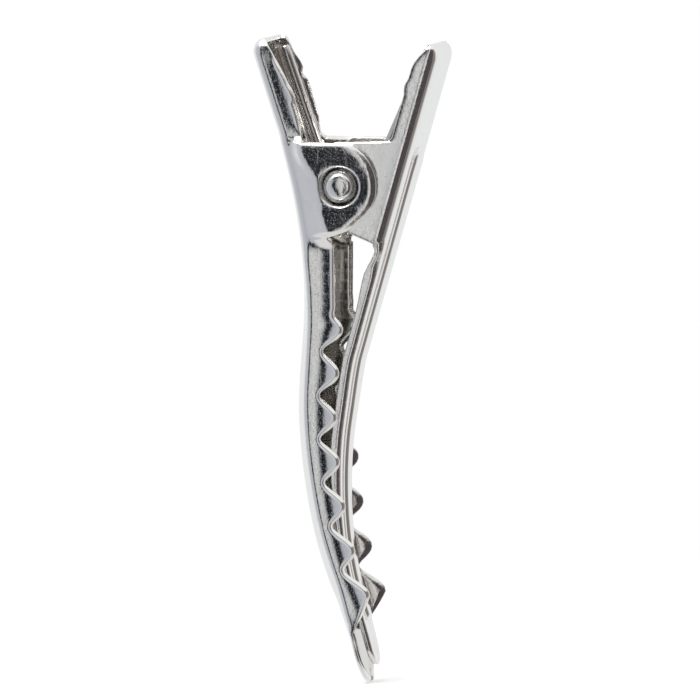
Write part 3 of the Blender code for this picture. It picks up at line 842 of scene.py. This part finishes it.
@dataclass
class BeadedJaw(PressedJaw):
    """The narrower jaw: flat back with a long bead, plain ears and a shallow nose."""

    toothed: ToothedJaw | None = None
    level_back: float = -4.15
    lean: float = 0.286
    handle_wall: float = 1.75
    ear_outer: float = 3.4
    side_gap: float = 0.34
    opening: float = 0.32
    nose_flange: float = 0.45
    tip_flange: float = 0.13
    straight: float = 0.35
    bead_top: float = 2.6
    bead_bottom: float = 30.2
    bead_top_half: float = 1.35
    bead_tip_half: float = 0.6
    bead_slope: float = 0.5
    bead_height: float = 0.3
    lip: float = 1.3
    bite: Points = (
        (0.44, 2.97), (0.52, 2.48), (0.61, 2.0), (0.70, 1.56), (0.785, 1.16), (0.85, 0.94), (0.92, 0.7),
        (0.97, 0.62),
    )

    @property
    def top(self) -> float:
        """Height of the handle's end."""
        return self.sizes.handle - self.sizes.beaded_setback

    @property
    def tip(self) -> float:
        """Depth of the tip."""
        return self.sizes.jaw - self.sizes.tip_setback

    def spine(self, z: Array) -> Array:
        """x of the back without the curl at its end; past the flat it keeps its room to the other jaw."""
        jaw = self.sizes.jaw
        points = [(p, self.level_back + self.lean * p * jaw) for p in (self.straight - 0.08, self.straight)]
        for place, room in self.bite:
            other = float(self.toothed.spine(np.array(-place * jaw)))
            points.append((place, -(other + 2 * self.sizes.sheet + room)))
        share = -np.asarray(z, float) / jaw
        return np.where(share <= self.straight, self.level_back - self.lean * z, through(tuple(points), share))

    def back(self, z: Array) -> Array:
        """x of the back, curled in at the handle's end and a little at the tip."""
        lip = turn_in(self.top - z, self.lip, self.handle_wall * 0.78)
        return self.spine(z) + lip + turn_in(z + self.tip, 0.5, 0.1)

    def bend_line(self, z: Array) -> Array:
        """x of the bend, level with the back."""
        return self.back(z)

    def half(self, z: Array) -> Array:
        """Half width: handle, ears, then a nose that clears the toothed walls."""
        s = self.sizes
        high, low = -s.ear_bottom, -s.ear_bottom - 2.0
        upper = np.full_like(z, self.ear_outer - self.opening)
        upper = upper - turn_in(self.top - z, 0.7, 0.45)
        share = np.maximum(0.0, (low - z) / (low + s.jaw - s.spoon))
        nose = mix(s.root_half, s.nose_half, share) - s.sheet - self.side_gap
        nose = mix(nose, self.ear_outer - self.opening, step(low, high, z))
        near = np.clip((z + self.tip) / (nose * 1.1), 0.006, 1.0)
        return np.where(z >= high, upper, nose * np.sqrt(1.0 - (1.0 - near) ** 2))

    def radius(self, z: Array) -> Array:
        """Outer radius of the bend: wide along the handle and ears, tighter on the nose."""
        room = self.free_edge(z) - self.back(z)
        wide = mix(0.42, self.bend, step(-6.5, -4.0, z))
        return np.minimum(np.minimum(wide, np.maximum(room, 0.1) * 0.62), self.half(z) * 0.5)

    def free_edge(self, z: Array) -> Array:
        """x of the free edge: handle wall with a nick, round ear, rounded notch, shallow nose wall."""
        s = self.sizes
        back = self.spine(z)
        handle = back + self.handle_wall - 0.9 * step(8.0, 10.0, z)
        handle = handle + 0.14 * step(7.5, 6.9, z) - 0.14 * step(6.9, 6.2, z) - 0.10 * step(9.0, 8.0, z)
        fillet = 0.45
        foot = np.clip((s.ear_top + fillet - z) / fillet, 0.0, 1.0)
        handle = handle + fillet * (1.0 - np.sqrt(1.0 - foot * foot))
        centre, reach = -0.35, 2.2
        oval = centre + (reach - centre) * np.sqrt(np.maximum(1.0 - (z / (s.ear_top + 0.1)) ** 2, 0.0))
        ear_low = -s.ear_top + 0.5
        corner, notch = -s.ear_bottom - 0.4, -s.ear_bottom - 1.0
        end = centre + (reach - centre) * math.sqrt(1.0 - (ear_low / (s.ear_top + 0.1)) ** 2)
        under = mix(end, float(self.spine(np.array(corner))) + 0.9, (ear_low - z) / (ear_low - corner))
        nose = mix(self.tip_flange, self.nose_flange, step(-0.75 * self.tip, -0.55 * self.tip, z)) + s.sheet
        nose = mix(nose, 0.95, step(-9.0, notch - 1.6, z))
        nose = mix(nose, 0.62, step(notch - 1.6, notch, z))
        nose = back + mix(nose, 0.9, step(notch, corner, z))
        lower = np.where(z >= ear_low, oval, np.where(z >= corner, under, nose))
        return np.where(z > s.ear_top, handle, lower)

    def bead_half(self, z: Array) -> Array:
        """Half width of the bead's foot."""
        share = np.clip((self.bead_top - z) / (self.bead_top + self.bead_bottom), 0.0, 1.0)
        return mix(self.bead_top_half, self.bead_tip_half, share)

    def bead(self, z: Array, y: Array) -> Array:
        """Height of the long bead: steep at its foot, rounding over to a plateau, with round ends."""
        half = self.bead_half(z)
        end = np.minimum(self.bead_top - z, z + self.bead_bottom)
        past = np.maximum(half - end, 0.0)
        rise = np.clip((half - np.hypot(y, past)) / self.bead_slope, 0.0, 1.0)
        return self.bead_height * (1.0 - (1.0 - rise) ** 3)

    def web(self, z: Array, w: Array) -> tuple[Array, Array]:
        """A flat back with its bead, then a quarter bend; the lines of the grid follow the bead's foot."""
        back, half, radius = self.back(z), self.half(z), self.radius(z)
        flat, plateau, foot = 0.74, 0.22, 0.56
        side = half - radius
        outer = np.minimum(self.bead_half(z), side * 0.75)
        inner = np.maximum(outer - self.bead_slope, outer * 0.2)
        turn = np.pi / 2 * np.clip((w - flat) / (1.0 - flat), 0.0, 1.0)
        y = np.where(w < foot, mix(inner, outer, (w - plateau) / (foot - plateau)),
                     mix(outer, side, (w - foot) / (flat - foot)))
        y = np.where(w < plateau, inner * w / plateau, y)
        y = np.where(w <= flat, y, half - radius * (1.0 - np.sin(turn)))
        x = back + np.where(w <= flat, 0.0, radius * (1.0 - np.cos(turn)))
        return x - self.bead(z, y), y

    def wall(self, x: Array, z: Array) -> Array:
        """y of the wall: it opens slightly towards its free edge."""
        start, edge = self.wall_start(z), self.free_edge(z)
        depth = np.maximum(x - start, 0.0)
        spread = step(-self.tip, -self.tip + 3.0, z) * (1.0 - step(self.top - 0.9, self.top - 0.2, z))
        away = np.maximum(edge - x, 0.0)
        rim = 0.03 * np.clip(1.0 - away / 0.4, 0.0, 1.0) ** 2 * step(-4.5, -3.5, z)
        y = self.half(z) + spread * (0.12 * (np.sqrt(depth * depth + 0.0025) - 0.05) - rim)
        y = np.minimum(y, self.ear_outer + 0.06)
        return np.minimum(y, mix(self.ear_outer, y, step(1.75, 2.6, np.hypot(x, z))))

    def rows(self) -> Array:
        """Rows close together at the lip, the ear and the tip."""
        s = self.sizes
        block = self.block_lines()[::-1]
        lip = self.top - s.edge - self.lip * (1.0 - np.sin(np.radians(np.linspace(86, 6, 13))))
        upper = lines((lip[-1] - 0.1, s.ear_top + 0.6, 0.17), (s.ear_top + 0.6, s.ear_top + 0.02, 0.08),
                      (s.ear_top - 0.005, s.ear_top - 0.1, 0.05), (s.ear_top - 0.1, block[0] + 0.1, 0.1))
        lower = lines((block[-1] - 0.12, -s.ear_bottom - 2.6, 0.1), (-s.ear_bottom - 2.6, -self.tip + 1.3, 0.22))
        tip = -self.tip + 0.02 + 1.28 * (1.0 - np.sin(np.radians(np.linspace(10, 88, 14))))
        return np.concatenate([lip, upper, block, lower, tip])


# ---------------------------------------------------------------- rivet and spring

@dataclass
class PivotRivet:
    """The pivot pin with a domed head formed in each dimple."""

    sizes: ClipSizes
    stand: float = 0.35
    gap: float = 0.05
    dent: float = 0.06

    def profile(self) -> Array:
        """Radius and distance along Y: dome, worn flat crest, brim, seat, pin, and the same mirrored."""
        s = self.sizes
        seat = s.ear_half - s.dimple_depth + self.gap
        crest = s.ear_half + self.stand
        brim = seat + 0.3
        turn = np.radians(np.linspace(89.0, 0.0, 22))
        dome = np.stack([s.head * np.cos(turn), brim + (crest - brim) * np.sin(turn) ** 0.9], axis=1)
        foot = np.radians(np.linspace(0.0, 90.0, 6))
        base = np.stack([s.head - 0.12 * (1 - np.cos(foot)), brim - (brim - seat) * np.sin(foot)], axis=1)[1:]
        half = np.concatenate([dome, base, [[s.pin, seat], [s.pin, seat - 0.4], [s.pin, 1.0]]])
        half[0, 0] = 0.003
        return np.concatenate([half * [1, -1], half[::-1]])

    def build(self, finish: bpy.types.Material) -> bpy.types.Object:
        """Turn the rivet, dent its domes, dress it and tie it to the toothed body."""
        points, faces = turned(self.profile(), 64)
        x, y, z = points.T
        radius = np.hypot(x, z)
        dents = np.sin(2.7 * x + 0.9) * np.cos(2.3 * z - 0.5)
        points[:, 1] -= np.sign(y) * self.dent * (1.0 + dents) * (1.0 - step(0.55, 0.9, radius))
        wear = step(0.55, 0.95, radius) * (np.abs(points[:, 1]) > self.sizes.ear_half - 0.3)
        piece = new_piece("rivet", points, faces, {"wear": wear * 0.5, "inner": np.zeros(len(points))})
        piece.data.materials.append(finish)
        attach(piece, "toothed_arm")
        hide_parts("pivot_rivet")
        return piece


@dataclass
class TorsionSpring:
    """The bent wire round the rivet: leg in the toothed handle, coil, leg in the beaded handle."""

    sizes: ClipSizes
    wire: float = 0.7
    clearance: float = 0.55
    turns: int = 4
    pitch: float = 0.8
    shortfall: float = 0.6
    toothed_angle: float = math.radians(20.0)
    beaded_angle: float = math.radians(23.5)
    spread: float = 0.6

    def path(self) -> Array:
        """Centre line: a straight leg, a helix of the coil's radius about the pivot, a straight leg."""
        s = self.sizes
        radius = s.pin + self.clearance + self.wire / 2
        first = math.pi + self.toothed_angle
        last = -self.beaded_angle - 2 * math.pi * self.turns
        half = self.pitch * (first - last) / (4 * math.pi)
        top = s.handle - s.beaded_setback - self.shortfall
        leg = np.linspace(1.0, 0.0, 14)[:-1]
        foot = radius * math.sin(first)
        rise = (top - foot) * leg
        start = np.stack([radius * math.cos(first) - rise * math.tan(self.toothed_angle),
                          half + self.spread * leg, foot + rise], axis=1)
        angle = np.linspace(first, last, 46 * self.turns)
        coil = np.stack([radius * np.cos(angle), np.linspace(half, -half, len(angle)),
                         radius * np.sin(angle)], axis=1)
        foot = radius * math.sin(last)
        rise = (top - foot) * leg[::-1]
        end = np.stack([radius * math.cos(last) + rise * math.tan(self.beaded_angle),
                        np.full_like(rise, -half), foot + rise], axis=1)
        return np.concatenate([start, coil, end])

    def build(self, finish: bpy.types.Material) -> bpy.types.Object:
        """Make the wire and dress it; it is tied to neither body."""
        path = self.path()
        sides = 20
        points, faces = tube(path, self.wire / 2, sides)
        marks = {"wear": np.zeros(len(points)), "inner": np.full(len(points), 0.25)}
        piece = new_piece("spring", points, faces, marks)
        piece.data.materials.append(finish)
        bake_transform(piece)
        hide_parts("torsion_spring")
        return piece


# ---------------------------------------------------------------- studio

@dataclass
class Studio:
    """Pale floor, soft light from all round with a few dark flags, and the camera."""

    sizes: ClipSizes
    azimuth: float = 11.0
    elevation: float = 4.0
    frame_width: float = 48.0
    lens: float = 800.0
    right: float = 0.79
    down: float = 11.18
    above: tuple[float, float, float] = (1.0, 1.0, 1.0)
    below: tuple[float, float, float] = (0.80, 0.80, 0.79)
    ring: tuple = (
        (-180, (0.86, 0.87, 0.88)), (-125, (0.92, 0.93, 0.94)), (-100, (0.84, 0.85, 0.87)),
        (-82, (0.58, 0.60, 0.65)), (-40, (0.53, 0.55, 0.60)), (-25, (0.46, 0.48, 0.51)),
        (-21, (0.012, 0.013, 0.018)), (-7, (0.012, 0.013, 0.018)), (-4, (0.40, 0.41, 0.43)),
        (1, (0.60, 0.61, 0.62)), (4, (0.70, 0.70, 0.70)), (6, (0.97, 0.97, 0.96)),
        (9, (0.97, 0.96, 0.94)), (11, (0.25, 0.21, 0.18)), (15, (0.06, 0.05, 0.065)),
        (24, (0.05, 0.042, 0.055)), (30, (0.12, 0.105, 0.11)), (36, (0.06, 0.05, 0.06)),
        (48, (0.10, 0.09, 0.09)), (60, (0.07, 0.06, 0.06)), (70, (0.30, 0.27, 0.25)),
        (80, (0.20, 0.18, 0.17)), (92, (0.40, 0.38, 0.36)), (104, (0.90, 0.90, 0.90)),
        (135, (0.95, 0.95, 0.95)), (180, (0.86, 0.87, 0.88)),
    )

    def world(self) -> None:
        """Soft white light; for reflections, dark flags stand in front of the clip."""
        world = bpy.data.worlds.new("studio_light")
        bpy.context.scene.world = world
        world.use_nodes = True
        g = Graph(world.node_tree)
        direction = g.node("ShaderNodeTexCoord").outputs["Generated"]
        parts = g.node("ShaderNodeSeparateXYZ", None, {0: direction})
        x, y, z = (Value(g, parts.outputs[i]) for i in range(3))
        around = x.maths("ARCTAN2", -y) * (0.5 / math.pi) + 0.5
        up = z.maths("ARCSINE") * (180 / math.pi)
        stops = [((angle + 180) / 360, colour) for angle, colour in self.ring]
        level = g.node("ShaderNodeValToRGB", {"stops": stops}, {0: around}).outputs[0]
        low = g.colour_mix((up * -1.0).above(28.0, 48.0), level, (*self.below, 1.0))
        colour = g.colour_mix(up.above(24.0, 40.0), low, (*self.above, 1.0))
        seen = g.node("ShaderNodeLightPath").outputs["Is Camera Ray"]
        colour = g.colour_mix(Value(g, seen), colour, (1.0, 1.0, 1.0, 1.0))
        light = g.node("ShaderNodeBackground", None, {"Color": colour, "Strength": 1.0})
        g.node("ShaderNodeOutputWorld", None, {"Surface": light.outputs[0]})

    def floor(self) -> bpy.types.Object:
        """A round pale floor under the tip that fades into the white surroundings."""
        level = (self.sizes.grip_drop - self.sizes.jaw - 0.05) * MM
        rings, sides = 24, 96
        radius = np.geomspace(0.002, 0.6, rings)
        turn = np.linspace(0.0, 2.0 * np.pi, sides, endpoint=False)
        points = np.stack([np.outer(radius, np.cos(turn)), np.outer(radius, np.sin(turn)),
                           np.full((rings, sides), level)], axis=2).reshape(-1, 3)
        points = np.concatenate([points, [[0.0, 0.0, level]]])
        base = (np.arange(rings - 1)[:, None] * sides + np.arange(sides)[None, :]).ravel()
        side = np.tile(np.arange(sides), rings - 1)
        after = base - side + (side + 1) % sides
        quads = np.stack([base, base + sides, after + sides, after], axis=1).tolist()
        quads += [[rings * sides, i, (i + 1) % sides] for i in range(sides)]
        mesh = bpy.data.meshes.new("floor")
        mesh.from_pydata(points.tolist(), [], quads)
        floor = bpy.data.objects.new("floor", mesh)
        bpy.context.scene.collection.objects.link(floor)
        made = bpy.data.materials.new("floor_paper")
        made.use_nodes = True
        g = Graph(made.node_tree)
        place = g.node("ShaderNodeTexCoord").outputs["Object"]
        away = g.value("ShaderNodeVectorMath", {"operation": "LENGTH"}, {0: place}, "Value")
        paper = g.noise(place, 1 / (1.2 * MM), 3.0) * 0.02 + 0.9
        shade = g.node("ShaderNodeCombineColor", None, {0: paper, 1: paper, 2: paper}).outputs[0]
        matt = g.node("ShaderNodeBsdfDiffuse", None, {"Color": shade})
        glow = g.node("ShaderNodeEmission", None, {"Color": (1.0, 1.0, 1.0, 1.0), "Strength": 1.0})
        cover = away.above(0.018, 0.12) * 0.5 + 0.5
        both = g.node("ShaderNodeMixShader", None, {0: cover, 1: matt.outputs[0], 2: glow.outputs[0]})
        g.node("ShaderNodeOutputMaterial", None, {"Surface": both.outputs[0]})
        mesh.materials.append(made)
        floor.visible_glossy = False
        return floor

    def lights(self) -> None:
        """A large soft box above."""
        data = bpy.data.lights.new("top_box", "AREA")
        data.shape = "SQUARE"
        data.size = 0.20
        data.energy = 1.3
        lamp = bpy.data.objects.new("top_box", data)
        place = np.array([-0.10, -0.12, 0.34])
        away = unit(place - np.array([0.0, 0.0, 0.01]))
        lamp.location = place
        lamp.rotation_euler = (math.acos(away[2]), 0.0, math.atan2(away[1], away[0]) + math.pi / 2)
        bpy.context.scene.collection.objects.link(lamp)

    def camera(self) -> None:
        """A long lens at the clip's height, turned a little to its right."""
        a, e = math.radians(self.azimuth), math.radians(self.elevation)
        towards = np.array([-math.sin(a) * math.cos(e), math.cos(a) * math.cos(e), -math.sin(e)])
        right = np.array([math.cos(a), math.sin(a), 0.0])
        up = np.cross(right, towards)
        target = np.array([0.0, -self.sizes.ear_half, self.sizes.grip_drop])
        target = target + self.right * right - self.down * up
        data = bpy.data.cameras.new("camera")
        data.lens = self.lens
        distance = self.frame_width * self.lens / data.sensor_width
        data.clip_start, data.clip_end = 0.01, 10.0
        camera = bpy.data.objects.new("camera", data)
        camera.location = (target - towards * distance) * MM
        camera.rotation_euler = (math.pi / 2 - e, 0.0, a)
        bpy.context.scene.collection.objects.link(camera)
        bpy.context.scene.camera = camera
        bpy.context.scene.view_settings.view_transform = "Standard"


def main() -> None:
    """Build and dress every piece, then the studio."""
    logging.basicConfig(level=logging.INFO, format="%(name)s: %(message)s")
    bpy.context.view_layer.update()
    sizes = ClipSizes()
    toothed = ToothedJaw(sizes, "toothed_jaw_plated", "toothed_jaw", "toothed_arm", "toothed_plating", 0.6, 1,
                         sizes.pin + 0.03, 24, (0.98, 1.12, 1.18, 1.24, 1.30, 1.36, 1.42, 1.50, 1.62, 1.76, 1.9))
    beaded = BeadedJaw(sizes, "beaded_jaw_plated", "beaded_jaw", "beaded_arm", "beaded_plating", 0.85, -1,
                       sizes.pin + 0.08, 36, (1.05, 1.25, 1.5, 1.75), toothed=toothed)
    plating = Plating("toothed_nickel").material()
    pieces = [
        toothed.build(plating),
        beaded.build(Plating("beaded_nickel", roughness=0.09, ripple=0.0018).material()),
        PivotRivet(sizes).build(Plating("rivet_nickel", roughness=0.12, ripple=0.010, wave=0.03).material()),
        TorsionSpring(sizes).build(Plating("spring_steel", colour=(0.62, 0.61, 0.59), roughness=0.2,
                                           line_depth=0.002).material()),
    ]
    for piece in pieces:
        LOG.info("%s: %d points, %d faces", piece.name, len(piece.data.vertices), len(piece.data.polygons))
    studio = Studio(sizes)
    studio.world()
    studio.floor()
    studio.lights()
    studio.camera()


if __name__ == "__main__":
    main()
